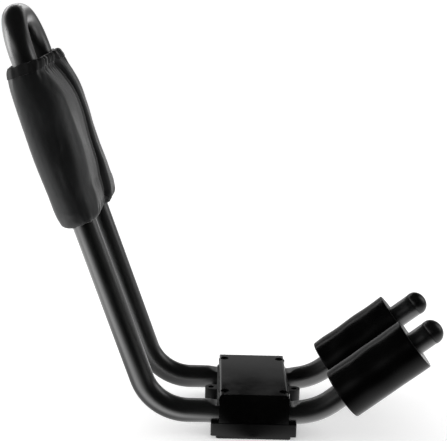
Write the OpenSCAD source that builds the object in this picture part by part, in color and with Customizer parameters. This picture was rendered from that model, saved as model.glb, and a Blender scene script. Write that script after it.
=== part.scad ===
// Roof-bar cradle for one kayak, of the rigid J form: one bent steel tube makes two
// parallel legs, clamped in a two-part mount, with foam rolls on the short arms and
// a padded sleeve on the tall legs. Millimetres, +Z up, +X towards the short arms,
// origin on the underside of the base pad, midway between the two mounting bolts.

/* [Tube] */
// Outer diameter of the steel tube
tube_d = 27; // [22:0.2:30]
// Wall thickness of the tube
tube_wall = 1.6; // [1.2:0.1:2.4]
// Distance between the axes of the two legs
tube_pitch = 99.5; // [90:0.5:120]
// Lean of the tall legs from the vertical, in degrees
leg_lean = 19.6; // [10:0.2:28]
// Straight length of each tall leg
leg_len = 374; // [320:1:440]
// Centre-line radius of the two corners of the top loop
loop_r = 42; // [34:1:44]
// Centre-line radius of the elbow under each tall leg
elbow_r = 56; // [48:1:80]
// Distance from the middle of the mount to the start of the elbow
elbow_x = 73.5; // [66:0.5:100]
// Centre-line radius of the bend into each short arm
arm_bend_r = 68; // [52:1:90]
// Distance from the middle of the mount to the start of that bend
arm_bend_x = 45.5; // [42:0.5:60]
// Rise of the short arms above the horizontal, in degrees
arm_angle = 38.6; // [28:0.2:48]
// Straight length of tube in each short arm
arm_len = 133; // [124:1:170]
// Depth to which the tube is pressed flat under the clamp plate
press_depth = 3.7; // [2:0.1:4.5]
// Slope of the run-out at each end of the pressed flat, in degrees
press_slope = 14; // [10:1:30]

/* [Foam rolls] */
// Outer diameter of a foam roll
foam_d = 61; // [48:0.5:66]
// Length of a foam roll
foam_len = 100; // [70:1:106]
// Bare tube between the arm bend and the roll
foam_gap = 10; // [4:1:14]
// Bevel on the rims of a roll
foam_bevel = 1.5; // [0.5:0.1:3]

/* [End caps] */
// Straight collar between the tube's end and the dome
cap_collar = 3; // [2:0.5:6]
// How far the cap stands proud of the tube
cap_lip = 0.6; // [0:0.1:1.5]
// Length of the plug that goes into the tube
cap_plug = 20; // [12:1:30]
// Clearance between the plug and the tube's bore
cap_fit = 0.15; // [0.1:0.05:0.4]

/* [Sleeve] */
// Length of the padded sleeve along the legs
pad_len = 180; // [140:1:220]
// Bare leg between the sleeve and the top loop
pad_top_gap = 4; // [2:1:20]
// Padding around each leg, from the tube to the outside of the sleeve
pad_thick = 15.5; // [12:0.1:20]
// Offset of the padding towards the kayak side
pad_shift = 1.2; // [0:0.1:3]
// Height over which the sleeve rounds in to its lower end
pad_foot_h = 16; // [8:1:30]
// Loss of radius at its lower end
pad_foot_in = 9; // [4:0.5:12]
// Height over which the sleeve narrows to its upper end
pad_head_h = 52; // [20:1:80]
// Loss of radius at its upper end
pad_head_in = 11; // [4:0.5:12]
// Thickness of the sleeve's fabric with its lining
sleeve_wall = 1.5; // [1:0.1:2.5]
// Width of the closing flap on the kayak side
flap_w = 34; // [24:1:50]
// Offset of the flap's free edge from the middle, towards the rear leg
flap_edge_y = 2.5; // [-6:0.5:10]
// Thickness of the closing flap with its loop tape
flap_t = 2.4; // [1.5:0.1:4]
// Width of the hook tape, part of which shows beyond the flap
hook_w = 20; // [12:1:24]
// Thickness of the hook tape
hook_t = 1; // [0.8:0.1:2]
// How much of the hook tape shows beyond the flap
hook_show = 9; // [0:0.5:14]

/* [Base] */
// Thickness of the rubber pad under the base
base_pad_t = 4; // [2:0.5:6]
// Size of the rubber pad along the roof bar
base_pad_x = 84; // [70:1:90]
// Set-back of the rubber pad from the front and rear faces of the base
base_pad_setback = 2; // [1:0.5:12]
// Thickness of the base under the tubes
base_floor = 9.2; // [8.5:0.1:14]
// Size of the base along the roof bar
base_x = 96; // [90:1:104]
// How far the base stands proud of the cover at the front and the rear
base_lip = 1; // [0.5:0.1:3]
// Height of the lips that cradle the outer sides of the tubes, from the base's underside
base_lip_z = 14.5; // [12:0.1:18]
// Distance from the middle to each mounting bolt hole
ear_x = 48.5; // [46:0.5:52]
// Radius of the ears round the mounting bolt holes
ear_r = 7; // [6:0.1:9]
// Diameter of the mounting bolt holes
ear_hole_d = 6.6; // [5.4:0.1:8.4]

/* [Clamp and cover] */
// Size of the clamp plate along the roof bar
plate_x = 83; // [78:0.5:86]
// Thickness of the clamp plate
plate_t = 2.5; // [2:0.1:4]
// Gap between the deck of the base and the clamp plate
clamp_gap = 2; // [1:0.1:3]
// Size of the cover along the roof bar
cover_x = 78; // [72:1:82]
// Wall thickness of the cover
cover_wall = 2.5; // [2:0.1:4]
// Radius of the long shoulders of the cover
cover_shoulder_r = 6; // [4:0.5:10]
// Radius of the end edges of the cover
cover_edge_r = 3; // [1.5:0.5:5]
// Height of the bosses that press on the clamp plate, to the washers
boss_h = 4.3; // [3:0.1:8]

/* [Fasteners] */
// Distance from the middle to each cover screw
screw_x = 33; // [28:0.5:34]
// Thread diameter of the cover screws
screw_d = 5; // [4:0.5:6]
// Clearance of holes around the screws
screw_fit = 0.5; // [0.3:0.1:0.8]
// How far the screw heads lie below the cover's top
screw_sunk = 1.7; // [1:0.1:3]

/* [Hidden] */
$fn = 64;

// General clearances
slip = 0.3;
tube_gap = 0.5;
past = 1;
overlap = 0.2;

// Tube
tube_r = tube_d / 2;
bore_r = tube_r - tube_wall;
leg_y = tube_pitch / 2;
elbow_turn = 90 - leg_lean;
axis_z = base_pad_t + base_floor + tube_r;
flat_h = tube_r - press_depth;
flat_x = plate_x / 2 + 1;
press_run = 30;
bend_neck = 0.1;

// Stack of the mount, from the bottom up
base_bottom_z = base_pad_t;
base_lip_top_z = base_bottom_z + base_lip_z;
plate_bottom_z = axis_z + flat_h;
plate_top_z = plate_bottom_z + plate_t;
deck_top_z = plate_bottom_z - clamp_gap;
washer_h = 1;
head_h = screw_d;
seat_z = plate_top_z + boss_h;
cover_top_z = seat_z + washer_h + head_h + screw_sunk;
cover_bottom_z = base_lip_top_z + slip;
cover_inner_y = leg_y + tube_r + tube_gap;
cover_half_y = cover_inner_y + cover_wall;
base_half_y = cover_half_y + base_lip;
deck_half_y = leg_y - tube_r - tube_gap;
plate_half_y = leg_y + tube_r * 0.75;
plate_corner_r = 5;
base_corner_r = 2;

// Fasteners
head_d = screw_d * 1.7;
hex_key = screw_d * 0.8;
washer_d = screw_d * 1.8;
counterbore_d = washer_d + 0.6;
boss_d = counterbore_d + 4;
hole_d = screw_d + screw_fit;
nut_af = screw_d * 1.6;
nut_h = screw_d;
nut_pocket_h = nut_h + 1.2;
nut_top_z = base_bottom_z + nut_pocket_h;
screw_tip_z = base_bottom_z + slip;
spacer_d = screw_d + 4;
spacer_top = flat_h - tube_wall;
spacer_bottom = -sqrt(bore_r * bore_r - spacer_d * spacer_d / 4) + 0.05;

// Sleeve, measured along the legs from the end of the elbow
pad_start = leg_len - pad_top_gap - pad_len;
pad_r = tube_r + pad_thick;
pad_mouth_r = tube_r + 2.4;
pad_flat_low = pad_foot_h;
pad_flat_high = pad_len - pad_head_h;
// Shares of the height and of the loss of radius, from each end of the sleeve to its flat part
FOOT_CURVE = [[0, 1], [0.09, 0.61], [0.31, 0.28], [0.63, 0.08], [1, 0]];
HEAD_CURVE = [[1, 0], [0.69, 0.11], [0.38, 0.34], [0.15, 0.58], [0.04, 0.77], [0, 1]];
// Height over the sleeve's lower end and loss of its radius there
PAD_PROFILE = concat([for (p = FOOT_CURVE) [p[0] * pad_foot_h, p[1] * pad_foot_in]],
                     [for (p = HEAD_CURVE) [pad_len - p[0] * pad_head_h, p[1] * pad_head_in]]);

// Places the children on the four cover screws
module at_screws() {
    for (x = [-screw_x, screw_x]) {
        for (y = [-leg_y, leg_y]) {
            translate([x, y, 0]) children();
        }
    }
}

// Places the children on the axes of both legs
module at_legs() {
    for (y = [-leg_y, leg_y]) {
        translate([0, y, 0]) children();
    }
}

// Turns a ring drawn about Z so that it lies in the plane of one leg
module in_leg_plane() {
    rotate([90, 0, 0]) children();
}

// Frame at the top of the elbow, with Z along the leg and X towards the kayak
module leg_frame() {
    translate([-elbow_x, 0, axis_z + elbow_r])
        rotate([0, -leg_lean, 0])
            translate([-elbow_r, 0, 0])
                children();
}

// Frame at the end of the arm bend, with Z along the short arm
module arm_frame() {
    translate([arm_bend_x, 0, axis_z + arm_bend_r])
        rotate([0, -arm_angle, 0])
            translate([0, 0, -arm_bend_r])
                rotate([0, 90, 0])
                    children();
}

// Bent length of tube, a little slimmer than the straight ones, as bending leaves it
module bend(bend_radius, turn, r, wall) {
    rotate_extrude(angle = turn) translate([bend_radius, 0]) ring(r - bend_neck, wall);
}

// Straight length of tube along Z
module straight(length, r, wall) {
    linear_extrude(height = length) ring(r, wall);
}

// Section of the tube, or a full disc where the wall is as thick as the radius
module ring(r, wall) {
    if (wall < r) {
        difference() {
            circle(r = r);
            circle(r = r - wall);
        }
    } else {
        circle(r = r);
    }
}

// Elbow, tall leg and one half of the top loop, on the side where Y is positive
module tall_leg(r, wall) {
    corner_y = leg_y - loop_r;
    leg_frame() {
        translate([elbow_r, leg_y, 0])
            in_leg_plane() rotate([0, 0, 180]) bend(elbow_r, elbow_turn, r, wall);
        translate([0, leg_y, 0]) straight(leg_len, r, wall);
        translate([0, corner_y, leg_len]) rotate([90, 0, 90]) bend(loop_r, 90, r, wall);
        translate([0, 0, leg_len + loop_r]) rotate([-90, 0, 0]) straight(corner_y, r, wall);
    }
}

// Horizontal run through the mount, the bend that follows it and the short arm, as a solid rod
module clamped_run(r) {
    translate([-elbow_x - overlap, 0, axis_z]) rotate([0, 90, 0])
        cylinder(r = r, h = elbow_x + arm_bend_x + overlap);
    translate([arm_bend_x, 0, axis_z + arm_bend_r])
        in_leg_plane() rotate([0, 0, -90]) bend(arm_bend_r, arm_angle, r, r);
    arm_frame() translate([0, 0, -overlap]) cylinder(r = r, h = arm_len + overlap);
}

// Space pressed out of the top of a run, down to height h over its axis
module press_tool(h) {
    rise = press_run * tan(press_slope);
    translate([0, tube_r + past, axis_z]) rotate([90, 0, 0]) linear_extrude(height = 2 * (tube_r + past))
        polygon([[-flat_x, h], [flat_x, h], [flat_x + press_run, h + rise],
                 [-flat_x - press_run, h + rise]]);
}

// Hollow run with its bend, pressed flat where it is clamped and drilled for the screws
module pressed_run() {
    difference() {
        clamped_run(tube_r);
        press_tool(flat_h);
        difference() {
            clamped_run(bore_r);
            press_tool(flat_h - tube_wall);
        }
        for (x = [-screw_x, screw_x]) {
            translate([x, 0, axis_z - tube_d]) cylinder(d = hole_d, h = 2 * tube_d);
        }
    }
}

// One bent steel tube from arm end to arm end
module cradle_tube() {
    color([0.07, 0.07, 0.07]) union() {
        tall_leg(tube_r, tube_wall);
        mirror([0, 1, 0]) tall_leg(tube_r, tube_wall);
        at_legs() pressed_run();
    }
}

// Domed plug for the end of one short arm
module end_cap(y) {
    plug_r = bore_r - cap_fit;
    rib_h = 2;
    color([0.04, 0.04, 0.04]) translate([0, y, 0]) arm_frame() translate([0, 0, arm_len])
        rotate_extrude() difference() {
            union() {
                translate([0, cap_collar]) circle(r = tube_r + cap_lip);
                translate([0, -cap_plug]) square([plug_r - 0.4, cap_plug]);
                square([tube_r + cap_lip, cap_collar]);
                for (i = [1:3]) {
                    translate([0, -i * cap_plug / 4 - rib_h / 2]) square([plug_r, rib_h]);
                }
            }
            translate([0, -cap_plug - past]) square([plug_r - 3, cap_plug]);
            translate([-2 * tube_r, -2 * cap_plug]) square([2 * tube_r, 4 * cap_plug]);
            translate([plug_r + 0.01, -2 * tube_r]) square([tube_r, 2 * tube_r]);
        }
}

// Closed-cell foam roll with its bore on one short arm
module foam_roll(y) {
    r = foam_d / 2;
    inner = tube_r + slip;
    color([0.05, 0.05, 0.05]) translate([0, y, 0]) arm_frame() translate([0, 0, foam_gap])
        rotate_extrude()
            polygon([[inner, 0], [r - foam_bevel, 0], [r, foam_bevel], [r, foam_len - foam_bevel],
                     [r - foam_bevel, foam_len], [inner, foam_len]]);
}

// Half outline of the padding beside one leg, smaller all over by inset
function pad_side(inset) = [for (p = PAD_PROFILE)
    [pad_r - p[1] - inset, min(max(p[0], inset), pad_len - inset)]];

// One half of the padding's round edge, about the leg at Y = 0
module pad_edge(inset) {
    rotate_extrude(angle = 180)
        polygon(concat([[0, inset]], pad_side(inset), [[0, pad_len - inset]]));
}

// Padded form around both legs: flat between them and round about each
module pad_form(inset) {
    side = pad_side(inset);
    count = len(side);
    other = [for (i = [0:count - 1]) [-side[count - 1 - i][0], side[count - 1 - i][1]]];
    leg_frame() translate([pad_shift, 0, pad_start]) {
        translate([0, leg_y, 0]) rotate([90, 0, 0]) linear_extrude(height = tube_pitch)
            polygon(concat(side, other));
        translate([0, leg_y, 0]) pad_edge(inset);
        translate([0, -leg_y, 0]) rotate([0, 0, 180]) pad_edge(inset);
    }
}

// Foam block on both legs inside the sleeve
module pad_core() {
    color([0.12, 0.12, 0.12]) difference() {
        pad_form(sleeve_wall + slip);
        at_legs() leg_frame() cylinder(r = tube_r + slip, h = leg_len);
    }
}

// Fabric sleeve around the foam block, open where the legs pass
module pad_sleeve() {
    color([0.16, 0.16, 0.17]) difference() {
        pad_form(0);
        pad_form(sleeve_wall);
        leg_frame() {
            for (y = [-leg_y, leg_y]) {
                translate([0, y, 0]) cylinder(r = pad_mouth_r, h = leg_len);
            }
            translate([-pad_mouth_r, -leg_y, 0]) cube([2 * pad_mouth_r, tube_pitch, leg_len]);
        }
    }
}

// Strip on the flat kayak side of the sleeve, up to the Y of edge and raised by h over the fabric
module sleeve_strip(h, edge, width, thickness, margin) {
    low = pad_flat_low + margin;
    high = pad_flat_high - margin;
    leg_frame() translate([pad_shift + pad_r + h, edge - width, pad_start + low])
        cube([thickness, width, high - low]);
}

// Hook tape sewn to the sleeve under the closing flap
module hook_tape() {
    color([0.1, 0.1, 0.1]) sleeve_strip(slip, flap_edge_y + hook_show, hook_w, hook_t, 3);
}

// Closing flap of the sleeve with the loop tape on its inner side
module pad_flap() {
    color([0.2, 0.2, 0.21]) sleeve_strip(slip + hook_t + slip, flap_edge_y, flap_w, flap_t, 0);
}

// Plan of a plate with round corners, centred
module round_plate(size_x, size_y, r, h) {
    linear_extrude(height = h) union() {
        square([size_x - 2 * r, size_y], center = true);
        square([size_x, size_y - 2 * r], center = true);
        for (x = [-1, 1]) {
            for (y = [-1, 1]) {
                translate([x * (size_x / 2 - r), y * (size_y / 2 - r)]) circle(r = r);
            }
        }
    }
}

// Pockets cored into the underside of the base between its ribs
module base_cores() {
    rib = 4;
    cores_x = 4;
    cores_y = 2;
    span_x = base_pad_x - 4 * rib;
    span_y = 2 * deck_half_y - 2 * rib;
    size_x = (span_x - (cores_x - 1) * rib) / cores_x;
    size_y = (span_y - (cores_y - 1) * rib) / cores_y;
    for (i = [0:cores_x - 1]) {
        for (j = [0:cores_y - 1]) {
            translate([-span_x / 2 + i * (size_x + rib), -span_y / 2 + j * (size_y + rib),
                       base_bottom_z - past])
                cube([size_x, size_y, deck_top_z - rib - base_bottom_z + past]);
        }
    }
}

// Lower half of the mount: round channels for both tubes, a raised deck between them
// and an ear at each end for the bolt to the roof bar
module base_saddle() {
    color([0.05, 0.05, 0.05]) difference() {
        union() {
            translate([0, 0, base_bottom_z])
                round_plate(base_x, 2 * base_half_y, base_corner_r, base_lip_z);
            translate([-plate_x / 2, -deck_half_y, base_bottom_z])
                cube([plate_x, 2 * deck_half_y, deck_top_z - base_bottom_z]);
            for (x = [-ear_x, ear_x]) {
                translate([x, 0, base_bottom_z]) cylinder(r = ear_r, h = deck_top_z - base_bottom_z);
            }
            translate([-ear_x, -ear_r, base_bottom_z])
                cube([2 * ear_x, 2 * ear_r, deck_top_z - base_bottom_z]);
        }
        at_legs() translate([-base_x, 0, axis_z]) rotate([0, 90, 0])
            cylinder(r = tube_r + slip, h = 2 * base_x);
        for (x = [-ear_x, ear_x]) {
            translate([x, 0, 0]) cylinder(d = ear_hole_d, h = cover_top_z);
        }
        at_screws() {
            cylinder(d = hole_d, h = axis_z);
            translate([0, 0, base_bottom_z - past])
                cylinder(d = (nut_af + slip) / cos(30), h = nut_pocket_h + past, $fn = 6);
        }
        base_cores();
    }
}

// Rubber pad that lies on the roof bar, with grooves that stop short of its rim
module base_pad() {
    groove_w = 4;
    groove_t = 1.2;
    groove_pitch = 12;
    groove_span = 2.5 * groove_pitch;
    rim = 5;
    size_y = 2 * (base_half_y - base_pad_setback);
    color([0.03, 0.03, 0.03]) difference() {
        round_plate(base_pad_x, size_y, 3, base_pad_t);
        for (x = [-groove_span:groove_pitch:groove_span]) {
            translate([x - groove_w / 2, -size_y / 2 + rim, -past])
                cube([groove_w, size_y - 2 * rim, groove_t + past]);
        }
    }
}

// Steel plate that presses both tubes into the base
module clamp_plate() {
    color([0.1, 0.1, 0.1]) difference() {
        translate([0, 0, plate_bottom_z]) round_plate(plate_x, 2 * plate_half_y, plate_corner_r, plate_t);
        at_screws() cylinder(d = hole_d, h = cover_top_z);
    }
}

// Block with round shoulders along X, round end edges and round upright corners
module cover_block(half_x, half_y, top_z, shoulder, edge) {
    bottom = cover_bottom_z;
    intersection() {
        translate([-half_x, 0, 0]) rotate([90, 0, 90]) linear_extrude(height = 2 * half_x) union() {
            translate([-half_y, bottom]) square([2 * half_y, top_z - bottom - shoulder]);
            translate([-half_y + shoulder, bottom]) square([2 * (half_y - shoulder), top_z - bottom]);
            for (y = [-1, 1]) {
                translate([y * (half_y - shoulder), top_z - shoulder]) circle(r = shoulder);
            }
        }
        translate([0, half_y + past, 0]) rotate([90, 0, 0]) linear_extrude(height = 2 * (half_y + past)) union() {
            translate([-half_x, bottom]) square([2 * half_x, top_z - bottom - edge]);
            translate([-half_x + edge, bottom]) square([2 * (half_x - edge), top_z - bottom]);
            for (x = [-1, 1]) {
                translate([x * (half_x - edge), top_z - edge]) circle(r = edge);
            }
        }
    }
}

// Moulded cover over the clamp, with four bosses for its screws
module top_cover() {
    rib_t = 2;
    inner_top = cover_top_z - cover_wall;
    color([0.14, 0.14, 0.14]) difference() {
        union() {
            difference() {
                cover_block(cover_x / 2, cover_half_y, cover_top_z, cover_shoulder_r, cover_edge_r);
                translate([-cover_x / 2 + cover_wall, -cover_inner_y, cover_bottom_z - past])
                    cube([cover_x - 2 * cover_wall, 2 * cover_inner_y, inner_top - cover_bottom_z + past]);
                translate([-cover_x, -cover_inner_y, cover_bottom_z - past])
                    cube([2 * cover_x, 2 * cover_inner_y, plate_top_z + slip - cover_bottom_z + past]);
            }
            at_screws() translate([0, 0, plate_top_z])
                cylinder(d = boss_d, h = inner_top - plate_top_z + cover_wall / 2);
            for (y = [-leg_y, 0, leg_y]) {
                translate([-cover_x / 2 + cover_wall / 2, y - rib_t / 2, seat_z])
                    cube([cover_x - cover_wall, rib_t, inner_top - seat_z + cover_wall / 2]);
            }
            for (x = [-screw_x, 0, screw_x]) {
                translate([x - rib_t / 2, -cover_inner_y - cover_wall / 2, seat_z])
                    cube([rib_t, 2 * cover_inner_y + cover_wall, inner_top - seat_z + cover_wall / 2]);
            }
        }
        at_screws() {
            cylinder(d = hole_d, h = cover_top_z);
            translate([0, 0, seat_z]) cylinder(d = counterbore_d, h = cover_top_z);
        }
    }
}

// Four socket-head screws through cover, clamp plate, tube and base
module cover_screws() {
    head_z = seat_z + washer_h;
    color([0.2, 0.2, 0.2]) at_screws() difference() {
        union() {
            translate([0, 0, screw_tip_z]) cylinder(d = screw_d, h = head_z - screw_tip_z + past);
            translate([0, 0, head_z]) cylinder(d = head_d, h = head_h);
        }
        translate([0, 0, head_z + head_h / 2]) cylinder(d = hex_key / cos(30), h = head_h, $fn = 6);
    }
}

// Flat washers under the screw heads
module screw_washers() {
    color([0.25, 0.25, 0.25]) at_screws() translate([0, 0, seat_z]) difference() {
        cylinder(d = washer_d, h = washer_h);
        translate([0, 0, -past]) cylinder(d = hole_d, h = washer_h + 2 * past);
    }
}

// Lock nuts held in the hexagonal pockets of the base
module lock_nuts() {
    color([0.3, 0.3, 0.3]) at_screws() translate([0, 0, nut_top_z - nut_h]) difference() {
        cylinder(d = nut_af / cos(30), h = nut_h, $fn = 6);
        translate([0, 0, -past]) cylinder(d = screw_d, h = nut_h + 2 * past);
    }
}

// Steel spacers that keep the screws from crushing the tubes
module tube_spacers() {
    color([0.35, 0.35, 0.35]) at_screws() translate([0, 0, axis_z + spacer_bottom]) difference() {
        cylinder(d = spacer_d, h = spacer_top - spacer_bottom);
        translate([0, 0, -past]) cylinder(d = hole_d, h = spacer_top - spacer_bottom + 2 * past);
    }
}

cradle_tube();
end_cap(-leg_y);  // end_cap_front
end_cap(leg_y);  // end_cap_rear
foam_roll(-leg_y);  // foam_roll_front
foam_roll(leg_y);  // foam_roll_rear
pad_core();
pad_sleeve();
hook_tape();
pad_flap();
base_saddle();
base_pad();
clamp_plate();
top_cover();
cover_screws();
screw_washers();
lock_nuts();
tube_spacers();
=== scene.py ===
"""Looks of a rigid kayak cradle for a roof bar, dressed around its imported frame.

One bent steel tube makes two parallel legs. It is clamped in a moulded mount, carries a foam
roll on each short arm, and wears a padded fabric sleeve on its tall legs. Lengths are in metres
in the part's own frame: +Z up, +X towards the short arms, origin under the mount.
"""

import logging
import math
from dataclasses import dataclass, field
from enum import Enum

import bmesh
import bpy
import numpy as np
from mathutils import Matrix, Vector


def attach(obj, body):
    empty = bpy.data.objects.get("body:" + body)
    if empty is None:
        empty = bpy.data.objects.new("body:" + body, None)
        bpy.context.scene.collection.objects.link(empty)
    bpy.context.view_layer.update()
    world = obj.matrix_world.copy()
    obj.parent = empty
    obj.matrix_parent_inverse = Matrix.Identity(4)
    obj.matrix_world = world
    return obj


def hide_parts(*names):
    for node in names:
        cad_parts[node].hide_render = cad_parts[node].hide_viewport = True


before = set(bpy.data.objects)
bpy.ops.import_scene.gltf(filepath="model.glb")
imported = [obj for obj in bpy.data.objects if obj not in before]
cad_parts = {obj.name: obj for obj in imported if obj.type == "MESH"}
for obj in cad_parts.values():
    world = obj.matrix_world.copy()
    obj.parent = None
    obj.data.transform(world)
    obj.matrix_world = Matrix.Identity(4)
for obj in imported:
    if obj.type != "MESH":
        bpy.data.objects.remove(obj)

log = logging.getLogger("cradle")
MM = 0.001
BODY = "root"
Array = np.ndarray
Piece = bpy.types.Object
Tree = bpy.types.NodeTree
Socket = bpy.types.NodeSocket
ACROSS = np.array([0, 1.0, 0])


# Colour and node helpers


def linear(code: str) -> tuple[float, float, float, float]:
    """Turns an sRGB hex colour into the linear values that a shader takes.

    Args:
        code: six hex digits after a hash mark.

    Returns:
        Linear red, green and blue with an alpha of 1.
    """
    values = [int(code[i : i + 2], 16) / 255 for i in (1, 3, 5)]
    r, g, b = [v / 12.92 if v <= 0.04045 else ((v + 0.055) / 1.055) ** 2.4 for v in values]
    return (r, g, b, 1.0)


def add(tree: Tree, kind: str, links: dict | None = None, **settings: object) -> bpy.types.Node:
    """Adds one shader node with its settings and links.

    Args:
        tree: the node tree that takes it.
        kind: Blender's type name of the node.
        links: input socket, by name or number, to an output socket or a plain value.
        settings: attributes of the node itself.

    Returns:
        The new node.
    """
    node = tree.nodes.new(kind)
    for key, value in settings.items():
        setattr(node, key, value)
    for key, value in (links or {}).items():
        if isinstance(value, Socket):
            tree.links.new(value, node.inputs[key])
        else:
            node.inputs[key].default_value = value
    return node


def light_pattern(
    tree: Tree, values: dict[str, Socket], slopes: dict[str, tuple], joins: dict[str, tuple]
) -> dict[str, Socket]:
    """Works out brightness from smooth slopes over a few values, and the ways they are joined.

    A slope goes from one level to another by 3s^2 - 2s^3, with s the clipped share of the way
    of its value between two places. A join is a product, sum, difference or larger of two.

    Args:
        tree: the node tree that takes it.
        values: output sockets by name.
        slopes: by name, its value, the two places and the level at each.
        joins: by name, the operation and the two names or numbers that it joins, in order.

    Returns:
        The values, slopes and joins, as sockets by name.
    """
    known = dict(values)
    for name, (value, low, high, start, end) in slopes.items():
        links = {"Value": known[value], "From Min": low, "From Max": high, "To Min": start, "To Max": end}
        slope = add(tree, "ShaderNodeMapRange", links, interpolation_type="SMOOTHSTEP")
        known[name] = slope.outputs[0]
    for name, (operation, a, b) in joins.items():
        links = {0: known.get(a, a), 1: known.get(b, b)}
        known[name] = add(tree, "ShaderNodeMath", links, operation=operation).outputs[0]
    return known


# Surfaces on grids


def smooth(x: Array | float, low: float, high: float) -> Array:
    """Rises from 0 at low to 1 at high along 3s^2 - 2s^3, with s the clipped share of the way."""
    s = np.clip((np.asarray(x, float) - low) / (high - low), 0, 1)
    return s * s * (3 - 2 * s)


def soft_min(a: Array, b: Array, k: float) -> Array:
    """Smaller of a and b, rounded over a width k: half of a + b - sqrt((a - b)^2 + k^2)."""
    return 0.5 * (a + b - np.sqrt((a - b) ** 2 + k * k))


def ripple(x: Array, seed: int, waves: int = 6, low: float = 1.0, high: float = 4.0) -> Array:
    """Smooth noise along x: a sum of sines with seeded rates between low and high per unit.

    Args:
        x: where to sample, in any unit.
        seed: fixes the rates and phases.
        waves: how many sines are added.
        low: slowest rate in turns per unit.
        high: fastest rate in turns per unit.

    Returns:
        Values of about -1 to 1.
    """
    rng = np.random.default_rng(seed)
    rates = rng.uniform(low, high, waves)
    phases = rng.uniform(0, 2 * np.pi, waves)
    total = sum(np.sin(2 * np.pi * r * x + p) for r, p in zip(rates, phases))
    return total / math.sqrt(waves)


def grid_faces(rows: int, cols: int, wrap: bool) -> Array:
    """Quads of a grid whose rows follow each other.

    Args:
        rows: rows of points.
        cols: points in a row.
        wrap: the last column joins the first.

    Returns:
        Four point numbers per face.
    """
    last = cols if wrap else cols - 1
    i, j = np.meshgrid(np.arange(rows - 1), np.arange(last), indexing="ij")
    k = (j + 1) % cols
    corners = [i * cols + j, i * cols + k, (i + 1) * cols + k, (i + 1) * cols + j]
    return np.stack(corners, -1).reshape(-1, 4)


def grid_object(name: str, grid: Array, wrap: bool = True, closed: bool = True) -> Piece:
    """Makes a smoothly shaded object from a grid of rows.

    Args:
        name: the piece's name.
        grid: rows by columns by 3, in metres.
        wrap: the columns close into a ring.
        closed: the first and last rows shrink to a middle point.

    Returns:
        The object, at the origin and linked into the scene.
    """
    rows, cols, _ = grid.shape
    points = grid.reshape(-1, 3)
    faces = grid_faces(rows, cols, wrap).tolist()
    if closed:
        ring = np.arange(cols)
        following = (ring + 1) % cols
        start, end, last = len(points), len(points) + 1, (rows - 1) * cols
        points = np.vstack([points, grid[0].mean(0), grid[-1].mean(0)])
        faces += np.stack([following, ring, np.full(cols, start)], 1).tolist()
        faces += np.stack([last + ring, last + following, np.full(cols, end)], 1).tolist()
    mesh = bpy.data.meshes.new(name)
    mesh.from_pydata(points.tolist(), [], faces)
    mesh.update()
    piece = bpy.data.objects.new(name, mesh)
    shade_smooth(piece)
    bpy.context.scene.collection.objects.link(piece)
    return piece


def face_out(piece: Piece) -> None:
    """Merges doubles and points all faces outwards.

    Args:
        piece: a closed mesh, or a sheet that already has its thickness.
    """
    work = bmesh.new()
    work.from_mesh(piece.data)
    bmesh.ops.remove_doubles(work, verts=work.verts, dist=1e-6)
    bmesh.ops.recalc_face_normals(work, faces=work.faces)
    work.to_mesh(piece.data)
    work.free()


def outer_faces_in(piece: Piece, out: Array) -> bool:
    """Tells whether a sheet's faces look against a given outward direction.

    Args:
        piece: the sheet.
        out: unit vector away from what it lies on.

    Returns:
        True if its normals point inwards on average.
    """
    normals = np.empty(len(piece.data.polygons) * 3)
    piece.data.polygons.foreach_get("normal", normals)
    return bool((normals.reshape(-1, 3) @ out).mean() < 0)


def read_points(piece: Piece) -> Array:
    """Reads a mesh's points.

    Args:
        piece: the mesh object.

    Returns:
        One row per point, in metres.
    """
    flat = np.empty(len(piece.data.vertices) * 3)
    piece.data.vertices.foreach_get("co", flat)
    return flat.reshape(-1, 3)


def write_points(piece: Piece, points: Array) -> None:
    """Puts points back into a mesh in their order."""
    piece.data.vertices.foreach_set("co", np.ascontiguousarray(points, float).ravel())
    piece.data.update()


def shade_smooth(piece: Piece) -> None:
    """Shades every face of a piece smoothly."""
    piece.data.polygons.foreach_set("use_smooth", np.ones(len(piece.data.polygons), bool))


def subdivide(piece: Piece, levels: int) -> None:
    """Adds a subdivision surface with the same level in view and render."""
    mod = piece.modifiers.new("subdivide", "SUBSURF")
    mod.levels = mod.render_levels = levels


def apply_modifiers(piece: Piece) -> None:
    """Bakes a piece's modifiers into its mesh.

    Args:
        piece: the object, which keeps its name and has no modifiers afterwards.
    """
    graph = bpy.context.evaluated_depsgraph_get()
    mesh = bpy.data.meshes.new_from_object(piece.evaluated_get(graph))
    old = piece.data
    piece.modifiers.clear()
    piece.data = mesh
    bpy.data.meshes.remove(old)


def thicken(piece: Piece, thickness: float, offset: float = -1.0) -> None:
    """Gives a laid sheet its thickness, with its faces outwards and shaded smoothly.

    Args:
        piece: the sheet.
        thickness: of the cloth or tape, in metres.
        offset: -1 grows against the faces, 0 to both sides and 1 along them.
    """
    solid = piece.modifiers.new("cloth", "SOLIDIFY")
    solid.thickness = thickness
    solid.offset = offset
    apply_modifiers(piece)
    face_out(piece)
    shade_smooth(piece)


# Finishes


class Surface(Enum):
    """How a surface was made, which decides its grain."""

    POWDER = "powder coated"
    MOULDED = "moulded with a spark-eroded texture"
    GLOSSY = "moulded in a polished tool"
    RUBBER = "moulded rubber"
    FOAM = "closed-cell foam that keeps its moulded skin"
    WEAVE = "plain-woven coated nylon"
    LOOPS = "hook-and-loop tape"
    ZINC = "zinc plated"
    OXIDE = "black oxide"


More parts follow.
